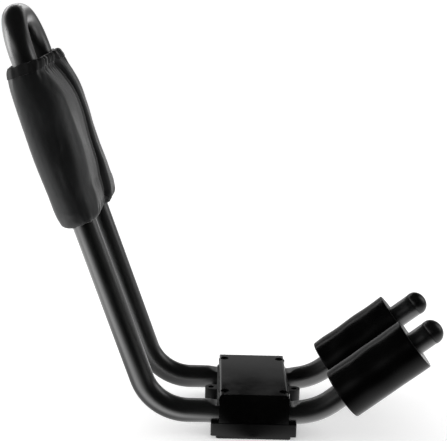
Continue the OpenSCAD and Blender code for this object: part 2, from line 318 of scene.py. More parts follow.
@dataclass(frozen=True)
class Finish:
    """One real material, from its common name and how its surface was made."""

    name: str
    made: Surface
    colour: str
    worn: str
    roughness: float
    metallic: float = 0.0
    coat: float = 0.0
    coat_rough: float = 0.22
    sheen: float = 0.0
    sheen_rough: float = 0.45
    grain_mm: float = 1.0
    depth_mm: float = 0.02
    ior: float = 1.5
    shine: float = 0.5

    def pattern(self, tree: Tree, where: Socket) -> Socket:
        """Height of the surface's grain, from 0 to 1.

        Args:
            tree: the material's nodes.
            where: position on the piece, in metres.

        Returns:
            The socket that carries the height.
        """
        scale = 1 / (self.grain_mm * MM)
        if self.made is Surface.WEAVE:
            # Warp and weft are two waves at right angles, each one thread spacing wide
            lean = (0.0, math.radians(LEG.lean_deg), 0.0)
            turned = add(tree, "ShaderNodeMapping", {"Vector": where, "Rotation": lean})
            split = add(tree, "ShaderNodeSeparateXYZ", {0: turned.outputs[0]})
            sides = {0: split.outputs["X"], 1: split.outputs["Y"]}
            across = add(tree, "ShaderNodeMath", sides, operation="ADD")
            waves = {}
            for number, way in enumerate((across.outputs[0], split.outputs["Z"])):
                turns = add(tree, "ShaderNodeMath", {0: way, 1: 2 * math.pi * scale}, operation="MULTIPLY")
                wave = add(tree, "ShaderNodeMath", {0: turns.outputs[0]}, operation="SINE")
                waves[number] = wave.outputs[0]
            both = add(tree, "ShaderNodeMath", waves, operation="MULTIPLY")
            height = {0: both.outputs[0], 1: 0.5, 2: 0.5}
            return add(tree, "ShaderNodeMath", height, operation="MULTIPLY_ADD").outputs[0]
        if self.made in (Surface.FOAM, Surface.LOOPS):
            cells = add(tree, "ShaderNodeTexVoronoi", {"Vector": where, "Scale": scale, "Randomness": 1.0})
            return cells.outputs["Distance"]
        cloudy = {"Vector": where, "Scale": scale, "Detail": 3.0, "Roughness": 0.6}
        return add(tree, "ShaderNodeTexNoise", cloudy).outputs["Fac"]

    def build(self) -> bpy.types.Material:
        """Makes the node material, or returns the one already made.

        Returns:
            The material.
        """
        known = bpy.data.materials.get(self.name)
        if known:
            return known
        mat = bpy.data.materials.new(self.name)
        mat.use_nodes = True
        tree = mat.node_tree
        tree.nodes.clear()
        where = add(tree, "ShaderNodeTexCoord").outputs["Object"]
        height = self.pattern(tree, where)
        # Slow variation, about 40 mm across, as from handling and dust
        slow = {"Vector": where, "Scale": 1 / (40 * MM), "Detail": 4.0, "Roughness": 0.65}
        cloud = add(tree, "ShaderNodeTexNoise", slow).outputs["Fac"]
        tone = add(tree, "ShaderNodeMath", {0: height, 1: 0.35, 2: cloud}, operation="MULTIPLY_ADD")
        ramp = add(tree, "ShaderNodeValToRGB", {"Fac": tone.outputs[0]})
        for stop, place, code in zip(ramp.color_ramp.elements, (0.38, 0.95), (self.colour, self.worn)):
            stop.position = place
            stop.color = linear(code)
        # Handling makes the roughness uneven, by about 0.05 either way
        rough = add(
            tree,
            "ShaderNodeMapRange",
            {"Value": cloud, "From Min": 0.3, "From Max": 0.7,
             "To Min": max(self.roughness - 0.05, 0.05), "To Max": min(self.roughness + 0.06, 1.0)},
        )
        relief = {"Height": height, "Strength": 0.6, "Distance": self.depth_mm * MM}
        bump = add(tree, "ShaderNodeBump", relief)
        shader = add(
            tree,
            "ShaderNodeBsdfPrincipled",
            {"Base Color": ramp.outputs["Color"], "Roughness": rough.outputs[0], "Metallic": self.metallic,
             "IOR": self.ior, "Specular IOR Level": self.shine, "Coat Weight": self.coat,
             "Coat Roughness": self.coat_rough, "Sheen Weight": self.sheen,
             "Sheen Roughness": self.sheen_rough, "Normal": bump.outputs[0]},
        )
        add(tree, "ShaderNodeOutputMaterial", {"Surface": shader.outputs[0]})
        return mat

    def dress(self, piece: Piece) -> None:
        """Puts this finish on a piece as its only material.

        Args:
            piece: a new piece or a kept CAD node, whose every slot takes the finish.
        """
        mat = self.build()
        if not piece.data.materials:
            piece.data.materials.append(mat)
        for i in range(len(piece.data.materials)):
            piece.data.materials[i] = mat


# Polyester powder coat, baked on steel: near black, a trace of orange peel, wide soft highlights
POWDER_COAT = Finish(
    "powder coat on steel tube", Surface.POWDER, "#060707", "#0b0c0c", 0.36,
    coat=1.0, coat_rough=0.33, grain_mm=1.2, depth_mm=0.005, shine=0.8,
)
# The same coat on the inner plate, thinner and duller
PLATE_COAT = Finish(
    "powder coat on steel plate", Surface.POWDER, "#0b0c0c", "#1a1b1b", 0.4, grain_mm=1.2, depth_mm=0.02
)
# Polyethylene plug from a polished tool: smooth, its highlights a little hazy
CAP_PLASTIC = Finish(
    "low-density polyethylene", Surface.GLOSSY, "#050505", "#0b0b0b", 0.3, grain_mm=2.5, depth_mm=0.01
)
# Closed-cell rubber foam with its skin left on: deep black, almost no grain, a faint low gloss
ROLL_FOAM = Finish(
    "closed-cell nitrile foam", Surface.FOAM, "#020202", "#040404", 0.24,
    grain_mm=1.6, depth_mm=0.008, shine=0.18,
)
# Glass-filled nylon base: fine texture, dull
BASE_NYLON = Finish(
    "glass-filled nylon", Surface.MOULDED, "#040404", "#0b0b0b", 0.42, grain_mm=0.7, depth_mm=0.02, shine=0.35
)
# Cover in ABS from a polished tool: the glossiest part, with small clear highlights
COVER_ABS = Finish("black ABS", Surface.GLOSSY, "#030303", "#060606", 0.09, grain_mm=0.9, depth_mm=0.002)
# Moulded pad under the base: matt, with a fine pebbled skin
PAD_RUBBER = Finish("moulded natural rubber", Surface.RUBBER, "#050505", "#0c0c0c", 0.7, depth_mm=0.05)
# Nylon cloth with a coated back, lighter where it is seen along its face. Its threads are drawn
# 1.6 mm apart, coarser than real ones, so that they show
SLEEVE_NYLON = Finish(
    "coated woven nylon", Surface.WEAVE, "#0e0f10", "#191a1b", 0.42,
    sheen=1.0, sheen_rough=0.16, grain_mm=1.6, depth_mm=0.1, shine=0.55,
)
# The flap's cloth is the same, painted a shade lighter and given a little more shine: painted light for the
# light that the kayak side catches near the seam
FLAP_NYLON_PAINTED_LIGHT = Finish(
    "coated woven nylon flap", Surface.WEAVE, "#101112", "#1b1c1d", 0.42,
    sheen=1.0, sheen_rough=0.16, grain_mm=1.6, depth_mm=0.1, shine=0.65,
)
# Woven binding on the hem, painted darker and duller than the cloth: painted shade for the drawn-in top,
# whose gathered face turns away from the light
HEM_TAPE_PAINTED_SHADE = Finish(
    "polyester binding with painted shade", Surface.WEAVE, "#09090a", "#141515", 0.6,
    sheen=0.4, sheen_rough=0.2, grain_mm=1.1, depth_mm=0.1, shine=0.35,
)
# Hook tape: short stiff hooks, drawn as coarse cells, that leave it dull
HOOKS = Finish("hook tape", Surface.LOOPS, "#060606", "#121212", 0.85, sheen=0.2, grain_mm=1.4, depth_mm=0.4)
# Blackened steel screws: dark metal with a soft shine
BLACK_SCREW = Finish(
    "black oxide steel", Surface.OXIDE, "#101112", "#1d1f20", 0.35, metallic=1.0, grain_mm=0.8, depth_mm=0.01
)
# Zinc-plated washers, nuts and spacers: pale grey metal, a little uneven
ZINC_STEEL = Finish(
    "zinc-plated steel", Surface.ZINC, "#8e9296", "#b4b8bb", 0.3, metallic=1.0, grain_mm=1.5, depth_mm=0.01
)


# The tube and its path


def even_run(a: Array, b: Array, normal: Array, step: float) -> tuple[Array, Array]:
    """Steps a straight evenly from a towards b, as a + s (b - a).

    Args:
        a: start.
        b: end, which is left to the next part.
        normal: inner normal all along.
        step: about how far apart the points are.

    Returns:
        Points and normals, one row each.
    """
    count = max(int(np.linalg.norm(b - a) / step), 1)
    s = np.linspace(0, 1, count, endpoint=False)[:, None]
    return a + s * (b - a), np.repeat(normal[None], count, 0)


def even_bend(centre: Array, radius: float, n0: Array, n1: Array, step: float) -> tuple[Array, Array]:
    """Steps a bend evenly, each point being the centre minus radius times the turned normal.

    Args:
        centre: middle of the circle.
        radius: of the centre line.
        n0: inner normal at the start.
        n1: inner normal at the end, which is left to the next part.
        step: about how far apart the points are.

    Returns:
        Points and normals, one row each.
    """
    angle = math.acos(float(np.clip(n0 @ n1, -1, 1)))
    count = max(int(radius * angle / step), 2)
    s = np.linspace(0, 1, count, endpoint=False)[:, None]
    n = (np.sin((1 - s) * angle) * n0 + np.sin(s * angle) * n1) / math.sin(angle)
    return centre - radius * n, n


@dataclass
class Leg:
    """Centre line of the bent tube, from the tip of one short arm to the tip of the other."""

    radius: float = 13.5 * MM
    wall: float = 1.6 * MM
    half_pitch: float = 49.75 * MM
    lean_deg: float = 19.6
    length: float = 374 * MM
    loop_r: float = 42 * MM
    elbow_r: float = 56 * MM
    elbow_x: float = 73.5 * MM
    arm_bend_r: float = 68 * MM
    arm_bend_x: float = 45.5 * MM
    arm_deg: float = 38.6
    arm_len: float = 133 * MM
    axis_z: float = 26.7 * MM
    # Steps of the open straights, of the bends and of the run that the clamp presses
    open_step: float = 8 * MM
    bend_step: float = 2.5 * MM
    run_step: float = 1.5 * MM
    loop_points: int = 28

    def along(self) -> Array:
        """Unit vector up the tall legs."""
        a = math.radians(self.lean_deg)
        return np.array([-math.sin(a), 0, math.cos(a)])

    def normal(self) -> Array:
        """Unit vector from the plane of the tall legs towards the kayak."""
        a = math.radians(self.lean_deg)
        return np.array([math.cos(a), 0, math.sin(a)])

    def foot(self) -> Array:
        """Point on the middle plane where the tall legs leave their elbows."""
        return np.array([-self.elbow_x, 0, self.axis_z + self.elbow_r]) - self.elbow_r * self.normal()

    def point(self, n: Array, y: Array, t: Array) -> Array:
        """Places points by the legs' plane: foot + n times its normal + t along the legs + y across.

        Args:
            n: offset from the plane, towards the kayak.
            y: offset from the middle plane.
            t: distance along the legs from their feet.

        Returns:
            One place per point.
        """
        n, y, t = np.broadcast_arrays(*[np.asarray(v, float) for v in (n, y, t)])
        base = self.foot() + n[..., None] * self.normal() + t[..., None] * self.along()
        return base + y[..., None] * ACROSS

    def arm_frame(self) -> tuple[Array, Array, Array]:
        """Works out where a short arm leaves its bend.

        Returns:
            Start on the middle plane, the arm's direction and its upper normal.
        """
        a = math.radians(self.arm_deg)
        up = np.array([-math.sin(a), 0, math.cos(a)])
        start = np.array([self.arm_bend_x, 0, self.axis_z + self.arm_bend_r]) - self.arm_bend_r * up
        return start, np.array([math.cos(a), 0, math.sin(a)]), up

    def half_line(self) -> tuple[Array, Array]:
        """Centre line and inner normal from an arm's tip to the middle of the top loop, at y = 0.

        Straights and bends follow each other. The last bend, top + radius (sin a along the legs
        + (1 - cos a) across), turns sideways, so its y runs from 0 to the loop's middle.

        Returns:
            Points and normals, one row each.
        """
        start, direction, up = self.arm_frame()
        z = np.array([0, 0, 1.0])
        arm_centre = np.array([self.arm_bend_x, 0, self.axis_z + self.arm_bend_r])
        elbow_centre = np.array([-self.elbow_x, 0, self.axis_z + self.elbow_r])
        run_a = np.array([self.arm_bend_x, 0, self.axis_z])
        run_b = np.array([-self.elbow_x, 0, self.axis_z])
        top = self.foot() + self.along() * self.length
        side = np.linspace(0, math.pi / 2, self.loop_points)[:, None]
        loop = top + self.loop_r * (np.sin(side) * self.along() + (1 - np.cos(side)) * ACROSS)
        parts = [
            even_run(start + direction * self.arm_len, start, up, self.open_step),
            even_bend(arm_centre, self.arm_bend_r, up, z, self.bend_step),
            even_run(run_a, run_b, z, self.run_step),
            even_bend(elbow_centre, self.elbow_r, z, self.normal(), self.bend_step),
            even_run(self.foot(), top, self.normal(), self.open_step),
            (loop, np.repeat(self.normal()[None], self.loop_points, 0)),
        ]
        return np.vstack([points for points, _ in parts]), np.vstack([normals for _, normals in parts])


LEG = Leg()


@dataclass
class BentTube:
    """The steel tube, with the flats that the clamp plate pressed into both runs."""

    leg: Leg = field(default_factory=Leg)
    sides: int = 56
    press_depth: float = 3.7 * MM
    flat_half: float = 42.5 * MM
    run_out: float = 15 * MM
    # Width of the flat's soft edge, its play over the round tube, and how far the tube spreads
    soft_edge: float = 0.9 * MM
    play: float = 0.6 * MM
    spread: float = 0.03
    bore_depth: float = 6 * MM

    def section_rows(self, points: Array, normals: Array) -> Array:
        """Rings round the centre line.

        A ring is centre + r (cos a times the inner normal + sin a times the cross vector). On
        the clamped runs its height over the axis is limited to the flat, with a soft edge, and
        it spreads sideways a little where it is pressed.

        Args:
            points: centre line.
            normals: inner normal at each point.

        Returns:
            Rows by sides by 3.
        """
        tangent = np.gradient(points, axis=0)
        tangent /= np.linalg.norm(tangent, axis=1, keepdims=True)
        cross = np.cross(tangent, normals)
        cross /= np.linalg.norm(cross, axis=1, keepdims=True)
        a = np.linspace(0, 2 * np.pi, self.sides, endpoint=False)[None]
        up = self.leg.radius * np.cos(a)
        side = self.leg.radius * np.sin(a)
        # Only the run and the beginnings of its bends lie this low
        on_run = points[:, 2:] < self.leg.axis_z + 4 * MM
        beyond = np.abs(points[:, :1]) - self.flat_half
        pressed = (1 - smooth(beyond, 0.0, self.run_out)) * on_run
        limit = (self.leg.radius + self.play) - pressed * (self.press_depth + self.play)
        flat = soft_min(up, limit, self.soft_edge)
        up = up + (flat - up) * pressed**0.25
        side = side * (1 + self.spread * pressed)
        return points[:, None] + up[..., None] * normals[:, None] + side[..., None] * cross[:, None]

    def tip(self, row: Array) -> list[Array]:
        """Turns a tip's ring over its rounded edge and into the bore.

        Args:
            row: the ring at the tip.

        Returns:
            Four rings, from the outside to the depth of the bore.
        """
        _, direction, _ = self.leg.arm_frame()
        bore = (self.leg.radius - self.leg.wall) / self.leg.radius
        turn = ((1.0, -0.25 * MM), (0.985, 0.0), (bore, 0.0), (bore, -self.bore_depth))
        centre = row.mean(0)
        return [centre + (row - centre) * scale + direction * shift for scale, shift in turn]

    def build(self) -> Piece:
        """Sweeps the tube from tip to tip as one surface with rolled-in ends.

        Returns:
            The piece.
        """
        half, normal = self.leg.half_line()
        y = np.array([0, self.leg.half_pitch, 0])
        mirrored = half * np.array([1, -1, 1.0])
        points = np.vstack([half - y, mirrored[::-1] + y])
        rows = self.section_rows(points, np.vstack([normal, normal[::-1]]))
        first, last = np.array(self.tip(rows[0])[::-1]), np.array(self.tip(rows[-1]))
        piece = grid_object("bent_tube", np.concatenate([first, rows[1:-1], last]))
        face_out(piece)
        POWDER_COAT.dress(piece)
        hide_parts("cradle_tube")
        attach(piece, BODY)
        log.info("bent tube: %d faces", len(piece.data.polygons))
        return piece


@dataclass
class ArmEnd:
    """Domed plug and foam roll on one short arm."""

    side: int
    name: str
    roll_start: float
    roll_length: float
    roll_radius: float
    seed: int
    lip: float = 0.3 * MM
    collar: float = 3 * MM
    dome: float = 12.0 * MM
    bore_play: float = 0.3 * MM
    rim: float = 1.2 * MM
    unevenness: float = 0.28 * MM
    leg: Leg = field(default_factory=Leg)

    def revolve(self, name: str, profile: Array, sides: int, waves: float = 0.0) -> Piece:
        """Turns a profile about the arm's axis.

        A point is the arm's start + t along the arm + r (cos a up + sin a across). With waves
        set, r grows and shrinks by that much in slow seeded ripples, two and three round a turn.

        Args:
            name: the piece's name.
            profile: rows of distance along the arm and radius.
            sides: points round the axis.
            waves: height of the ripples.

        Returns:
            The object.
        """
        start, direction, up = self.leg.arm_frame()
        start = start + self.side * self.leg.half_pitch * ACROSS
        a = np.linspace(0, 2 * np.pi, sides, endpoint=False)
        t = profile[:, :1]
        r = profile[:, 1:] + 0 * a
        if waves:
            twos = ripple(t / 0.05, self.seed, 4, 0.4, 1.2) * np.cos(2 * a + self.seed)
            threes = np.cos(3 * a - self.seed) * ripple(t / 0.04, self.seed + 1, 3, 0.3, 1.0)
            r = r + waves * (twos + threes) * smooth(r, self.leg.radius * 1.2, self.leg.radius * 2)
        rise, aside = r * np.cos(a), r * np.sin(a)
        grid = start + t[..., None] * direction + rise[..., None] * up + aside[..., None] * ACROSS
        piece = grid_object(name, grid)
        face_out(piece)
        return piece

    def build_cap(self) -> Piece:
        """Plug with a thin parting groove, a collar and a round dome.

        The dome is a quarter of an ellipse: dome height times sin a along the arm, r cos a out.

        Returns:
            The piece.
        """
        r = self.leg.radius + self.lip
        tip = self.leg.arm_len
        plug = self.leg.radius - self.leg.wall - 0.15 * MM
        a = np.linspace(0, np.pi / 2, 22)[1:]
        dome = np.stack([tip + self.collar + self.dome * np.sin(a), r * np.cos(a)], 1)
        dome[-1, 1] = 0.02 * MM
        # Distance along the arm and radius: the stem in the bore, the groove, the collar
        stem = np.array([
            [tip - 12 * MM, plug - 0.8 * MM], [tip - 11.5 * MM, plug], [tip + 0.02 * MM, plug],
            [tip + 0.02 * MM, r - 0.45 * MM], [tip + 0.15 * MM, r - 0.2 * MM], [tip + 0.45 * MM, r],
            [tip + self.collar, r],
        ])
        piece = self.revolve(f"end_cap_{self.name}_dome", np.vstack([stem, dome]), 64)
        CAP_PLASTIC.dress(piece)
        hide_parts(f"end_cap_{self.name}")
        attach(piece, BODY)
        return piece

    def build_roll(self) -> Piece:
        """Foam cylinder with softly rounded rims, slightly uneven as foam is.

        Returns:
            The piece.
        """
        bore, rim, r = self.leg.radius + self.bore_play, self.rim, self.roll_radius
        s, e = self.roll_start, self.roll_start + self.roll_length
        a = np.linspace(0, np.pi / 2, 7)
        low = np.stack([s + rim * (1 - np.cos(a)), r - rim + rim * np.sin(a)], 1)
        high = np.stack([e - rim * (1 - np.sin(a)), r - rim + rim * np.cos(a)], 1)
        face = np.linspace(bore + 1 * MM, r - rim, 8)[:-1]
        body = np.linspace(s + rim, e - rim, 40)[1:-1]
        # The bore's lower end, the lower face and rim, the side, then the same at the upper end
        profile = np.vstack([
            [[s + 6 * MM, bore], [s + 1.2 * MM, bore]],
            np.stack([np.full(len(face), s), face], 1), low,
            np.stack([body, np.full(len(body), r)], 1), high,
            np.stack([np.full(len(face), e), face[::-1]], 1),
            [[e - 1.2 * MM, bore], [e - 6 * MM, bore]],
        ])
        piece = self.revolve(f"foam_roll_{self.name}_skin", profile, 96, self.unevenness)
        ROLL_FOAM.dress(piece)
        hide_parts(f"foam_roll_{self.name}")
        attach(piece, BODY)
        return piece

    def build(self) -> None:
        """Builds both pieces of this arm."""
        for piece in (self.build_cap(), self.build_roll()):
            log.info("%s: %d faces", piece.name, len(piece.data.polygons))


@dataclass
class Sleeve:
    """Padded fabric sleeve on both tall legs, with its overlapping flap on the kayak side."""

    leg: Leg = field(default_factory=Leg)
    low: float = 190 * MM
    high: float = 370 * MM
    # Distance along the legs, and thickness from their plane on the outer and the kayak side, mm
    shape: tuple = (
        (190, 20.5, 23.0), (191.5, 22.8, 25.2), (195, 24.6, 27.2), (200, 25.6, 28.4), (207, 26.1, 29.0),
        (218, 26.5, 29.2), (235, 27.0, 29.7), (255, 27.4, 29.4), (275, 27.5, 29.5), (294, 27.3, 30.6),
        (313, 26.8, 31.3), (323, 26.2, 31.3), (332, 25.7, 29.8), (342, 25.0, 27.2), (351, 24.0, 24.8),
        (361, 22.2, 22.6), (366, 20.8, 20.8), (370, 19.0, 18.8),
    )
    flap_t: float = 2.6 * MM
    flap_start: float = -38 * MM
    channel: float = 11.0 * MM
    band: float = 12.0 * MM
    outer_slack: float = 1.6 * MM
    # Superellipse powers of the two sides, and the radius before each side takes its thickness
    kayak_power: float = 2.35
    outer_power: float = 3.6
    round_r: float = 28.0 * MM
    # How the ends roll in: inset from the skin and shift past the end, mm
    rim_roll: tuple = ((1.2, 0.9), (2.6, 1.2), (3.8, 0.2), (4.2, -3.0), (4.4, -7.0))
    rows: int = 110
    cols: int = 200
    voxel: float = 4.0 * MM
    pressure: float = 4.0
    frames: int = 20
    swell: float = 0.6 * MM

    def thickness(self, t: Array, towards_kayak: bool) -> Array:
        """Thickness from the legs' plane at a distance along them.

        It is the mean of the straight lines between the measured stations over a window, which
        rounds their corners and narrows to nothing at the sleeve's ends.

        Args:
            t: distance along the legs.
            towards_kayak: the kayak side, not the outer one.

        Returns:
            Thickness at each t.
        """
        table = np.array(self.shape) * MM
        window = np.clip(np.minimum(t - self.low, self.high - t), 0, 9 * MM)
        spots = [np.interp(t + share * window, table[:, 0], table[:, 2 if towards_kayak else 1])
                 for share in np.linspace(-1, 1, 9)]
        return sum(spots) / len(spots)

    def seam(self, t: Array) -> tuple[Array, Array]:
        """Place of the flap's free edge across the legs, and how far it lies under the far half."""
        # The edge bows: it is farthest back at mid-length and comes forward towards both ends
        bow = np.minimum(((t - 295 * MM) / (55 * MM)) ** 2, 1.6)
        return (14.0 - 6.0 * bow) * MM, (0.6 + 2.4 * bow) * MM

    def lowered(self, y: Array, t: Array) -> Array:
        """How far the kayak side lies under the far half's crest.

        The near half runs under the flap, a channel follows the flap's free edge, and the far
        half stands up from it as a bolster with a steep front.

        Args:
            y: offset from the middle plane.
            t: distance along the legs.

        Returns:
            Depth at each point.
        """
        edge, drop = self.seam(t)
        near = drop + self.flap_t
        past_edge = smooth(y, edge + 0.3 * MM, edge + 2.5 * MM)
        bolster = smooth(y, edge + 8 * MM, edge + 17 * MM)
        top = smooth(self.high - t, 1 * MM, 16 * MM)
        bottom = smooth(t - self.low, 1 * MM, 14 * MM)
        return top * (near * (1 - past_edge) + bottom * self.channel * past_edge * (1 - bolster))

    def squared(self, x: Array, q: Array) -> Array:
        """Turns a sine or cosine x of the angle q into a superellipse's, with flatter faces."""
        # q runs from 0 on the kayak side to pi on the outer side, which is squarer
        power = np.where(np.cos(q) > 0, self.kayak_power, self.outer_power)
        return np.sign(x) * np.abs(x) ** (2 / power)

    def section(self, t: Array, u: Array, inset: float = 0.0) -> tuple[Array, Array]:
        """Outline of the sleeve across the legs.

        It is a stadium around both legs: two half superellipses joined by flats, stepped by
        angle with u from 0 to 1, and each half is scaled to its own side's thickness. The
        outer flat sinks a little between the legs.

        Args:
            t: distance along the legs.
            u: share of the way round, 0 at the middle of the kayak side, rising towards -Y.
            inset: how far inside the skin.

        Returns:
            Offset from the legs' plane and from the middle plane.
        """
        half, r = self.leg.half_pitch, self.round_r
        flat, arc = 2 * half, np.pi * r
        total = 2 * (flat + arc)
        s = (u % 1.0) * total + 0 * t
        n, y = np.zeros_like(s), np.zeros_like(s)
        # Half the kayak side, the -Y leg, the outer side, the +Y leg, the kayak side's other half
        part = s < half
        n[part], y[part] = r, -s[part]
        part = (s >= half) & (s < half + arc)
        q = (s[part] - half) / r
        n[part], y[part] = r * self.squared(np.cos(q), q), -half - r * self.squared(np.sin(q), q)
        part = (s >= half + arc) & (s < half + arc + flat)
        n[part], y[part] = -r, -half + (s[part] - half - arc)
        part = (s >= half + arc + flat) & (s < half + 2 * arc + flat)
        q = (s[part] - half - arc - flat) / r
        n[part] = -r * self.squared(np.cos(q), np.pi - q)
        y[part] = half + r * self.squared(np.sin(q), np.pi - q)
        part = s >= half + 2 * arc + flat
        n[part], y[part] = r, half - (s[part] - half - 2 * arc - flat)
        kayak = self.thickness(t, True)
        outer = self.thickness(t, False) - self.outer_slack
        taper = np.minimum(1.0, 0.45 + 0.55 * outer / (27.0 * MM))
        edge = np.sign(y) * np.maximum(np.abs(y) - half, 0)
        y = np.clip(y, -half, half) + edge * taper
        dip = 2.0 * MM * np.exp(-((np.abs(y) / (26 * MM)) ** 2))
        n = np.where(n > 0, n / r * kayak, n / r * (outer - dip))
        length = np.maximum(np.hypot(n, edge), 1e-6)
        shrink = np.where(length > inset, (length - inset) / length, 0)
        return n * shrink, np.clip(y, -half, half) + edge * taper * shrink

    def skin(self) -> Array:
        """Grid of the sleeve's outside, with both ends rolled in around the legs.

        Its rows are closer towards both ends: low + length times (1 - cos a) / 2.

        Returns:
            Rows by columns by 3.
        """
        u = np.linspace(0, 1, self.cols, endpoint=False)[None]
        a = np.linspace(0, np.pi, self.rows)[:, None]
        t = self.low + (self.high - self.low) * (0.5 - 0.5 * np.cos(a))
        outside = self.leg.point(*self.section(t, u), t)
        low_rim, high_rim = [], []
        for inset, past in np.array(self.rim_roll) * MM:
            for rim, end, way in ((low_rim, self.low, -past), (high_rim, self.high, past)):
                n, y = self.section(np.full((1, 1), end), u, inset)
                rim.append(self.leg.point(n, y, end + way)[0])
        return np.concatenate([np.array(low_rim[::-1]), outside, np.array(high_rim)])

    def puff(self, piece: Piece) -> None:
        """Swells the padded form by a cloth simulation, each point moving by no more than swell.

        Args:
            piece: the closed form, which is remeshed on the way.
        """
        remesh = piece.modifiers.new("remesh", "REMESH")
        remesh.mode = "VOXEL"
        remesh.voxel_size = self.voxel
        apply_modifiers(piece)
        before = read_points(piece)
        cloth = piece.modifiers.new("puff", "CLOTH")
        cloth.settings.use_pressure = True
        cloth.settings.uniform_pressure_force = self.pressure
        cloth.settings.effector_weights.gravity = 0.0
        cloth.settings.quality = 5
        scene = bpy.context.scene
        for number in range(1, self.frames + 1):
            scene.frame_set(number)
        apply_modifiers(piece)
        scene.frame_set(1)
        move = read_points(piece) - before
        far = np.linalg.norm(move, axis=1, keepdims=True)
        write_points(piece, before + move * np.minimum(1, self.swell / np.maximum(far, 1e-9)))

    def local(self, points: Array) -> tuple[Array, Array, Array]:
        """Offset from the legs' plane, from the middle plane and along the legs of each point."""
        v = points - self.leg.foot()
        return v @ self.leg.normal(), points[:, 1], v @ self.leg.along()

    def gather(self, piece: Piece) -> None:
        """Adds the folds of a drawn-in sleeve near its ends, and sinks its near half and channel.

        A fold is a sine round the sleeve whose height fades with distance from the nearer end,
        and slow ripples along the sleeve slacken its flats. The kayak side is the looser one.

        Args:
            piece: the padded body.
        """
        co = read_points(piece)
        n, y, t = self.local(co)
        half = self.leg.half_pitch
        flat = np.clip(y, -half, half)
        q = np.arctan2(n, np.sign(y) * np.maximum(np.abs(y) - half, 0) + 1e-9)
        way = flat * np.sign(n) + self.round_r * q
        top = 1 - smooth(self.high - t, 2 * MM, 26 * MM)
        bottom = 1 - smooth(t - self.low, 2 * MM, 18 * MM)
        # Folds 10 to 20 mm apart round the sleeve, and slack in waves 55 to 200 mm long
        fold = ripple(way / 0.011, 5, 5, 0.55, 1.15)
        slack = ripple(t / 0.06 + way / 0.11, 9, 5, 0.3, 1.1)
        loose = smooth(n, 2 * MM, 22 * MM)
        # Heights in mm: about 1.4 for the top's folds, and 0.6 for the bottom's, less at its rim
        out = (0.25 + 0.9 * loose) * (1.2 * top + 0.5 * bottom) * fold + (0.12 + 0.2 * loose) * slack
        out *= smooth(t - self.low, 0.0, 6 * MM) * 0.7 + 0.3
        away = n[:, None] * self.leg.normal() + (y - flat)[:, None] * ACROSS
        away /= np.maximum(np.linalg.norm(away, axis=1, keepdims=True), 1e-6)
        sunk = self.lowered(y, t) * np.clip(n / (24 * MM), 0, 1)
        write_points(piece, co + away * (out * MM)[:, None] - sunk[:, None] * self.leg.normal())

    def build_body(self) -> Piece:
        """Padded body of the sleeve.

        Returns:
            The piece.
        """
        piece = grid_object("sleeve_body", self.skin())
        face_out(piece)
        self.puff(piece)
        subdivide(piece, 1)
        apply_modifiers(piece)
        self.gather(piece)
        shade_smooth(piece)
        SLEEVE_NYLON.dress(piece)
        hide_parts("pad_sleeve", "pad_core")
        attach(piece, BODY)
        return piece

    def laid_on(self, piece: Piece, body: Piece, clear: float) -> None:
        """Lays a sheet on the padded body.

        Args:
            piece: the sheet, still without thickness.
            body: what it lies on.
            clear: distance that it stays off the skin.
        """
        wrap = piece.modifiers.new("lay", "SHRINKWRAP")
        wrap.target = body
        wrap.wrap_method = "NEAREST_SURFACEPOINT"
        wrap.wrap_mode = "ABOVE_SURFACE"
        wrap.offset = clear
        apply_modifiers(piece)

    def strip(self, t: Array, near: Array, far: Array, cols: int) -> tuple[Array, Array]:
        """Grid over the kayak side between two edges, before it is laid on the body.

        Args:
            t: distance along the legs, one row each.
            near: first edge's place across the legs at each row.
            far: second edge's place.
            cols: points from edge to edge.

        Returns:
            Points, and the share of the way from the first edge to the second at each.
        """
        share = np.linspace(0, 1, cols)[None] + 0 * t
        across = near + (far - near) * share
        n = self.thickness(t, True) - self.lowered(across, t)
        return self.leg.point(n, across, t), share

    def build_flap(self, body: Piece) -> Piece:
        """Overlapping edge of the near half, a laid sheet with a rolled hem along its free edge.

        It leaves the near half without a step: its face rises from just under the body's skin
        to just over it. The hem and its stitched groove are bell curves across the flap, height
        times exp(-(distance / width)^2), the hem up and the groove down.

        Args:
            body: the padded body.

        Returns:
            The piece.
        """
        t = np.linspace(self.low + 3 * MM, self.high - 5 * MM, 170)[:, None]
        free, _ = self.seam(t)
        # A sewn edge is never quite even: it wanders by about 0.6 mm
        free = free + 0.6 * MM * ripple(t / 0.09, 21, 4, 0.5, 1.4)
        points, share = self.strip(t, self.flap_start, free, 90)
        piece = grid_object("sleeve_flap", points, wrap=False, closed=False)
        self.laid_on(piece, body, 0.5 * MM)
        left = (1 - share) * (free - self.flap_start)
        bead = 1.6 * MM * np.exp(-(((left - 2.4 * MM) / (1.9 * MM)) ** 2))
        stitch = -0.45 * MM * np.exp(-(((left - 6.4 * MM) / (0.7 * MM)) ** 2))
        ends = smooth(t - self.low, 3 * MM, 26 * MM) * smooth(self.high - t, 5 * MM, 28 * MM)
        rise = 0.8 * MM * smooth(share, 0.0, 0.85) * ends
        lift = rise + (bead + stitch) * ends - 0.9 * MM
        write_points(piece, read_points(piece) + lift.reshape(-1, 1) * self.leg.normal())
        thicken(piece, 1.6 * MM, 1.0 if outer_faces_in(piece, self.leg.normal()) else -1.0)
        # The flap's cloth is painted a shade lighter than the body's, as painted light
        FLAP_NYLON_PAINTED_LIGHT.dress(piece)
        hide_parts("pad_flap")
        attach(piece, BODY)
        return piece

    def build_band(self, body: Piece) -> Piece:
        """Binding tape round the sleeve's upper opening, up to its edge, dark as painted shade on the
        drawn-in top.

        Args:
            body: the padded body.

        Returns:
            The piece.
        """
        u = np.linspace(0, 1, 240, endpoint=False)[None]
        t = np.linspace(self.high - self.band, self.high - 0.5 * MM, 24)[:, None]
        piece = grid_object("sleeve_binding_painted_shade", self.leg.point(*self.section(t, u), t), closed=False)
        self.laid_on(piece, body, 0.4 * MM)
        thicken(piece, 0.8 * MM, 0.0)
        # The binding's dark colour is painted shade for the gathered top of the sleeve
        HEM_TAPE_PAINTED_SHADE.dress(piece)
        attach(piece, BODY)
        return piece

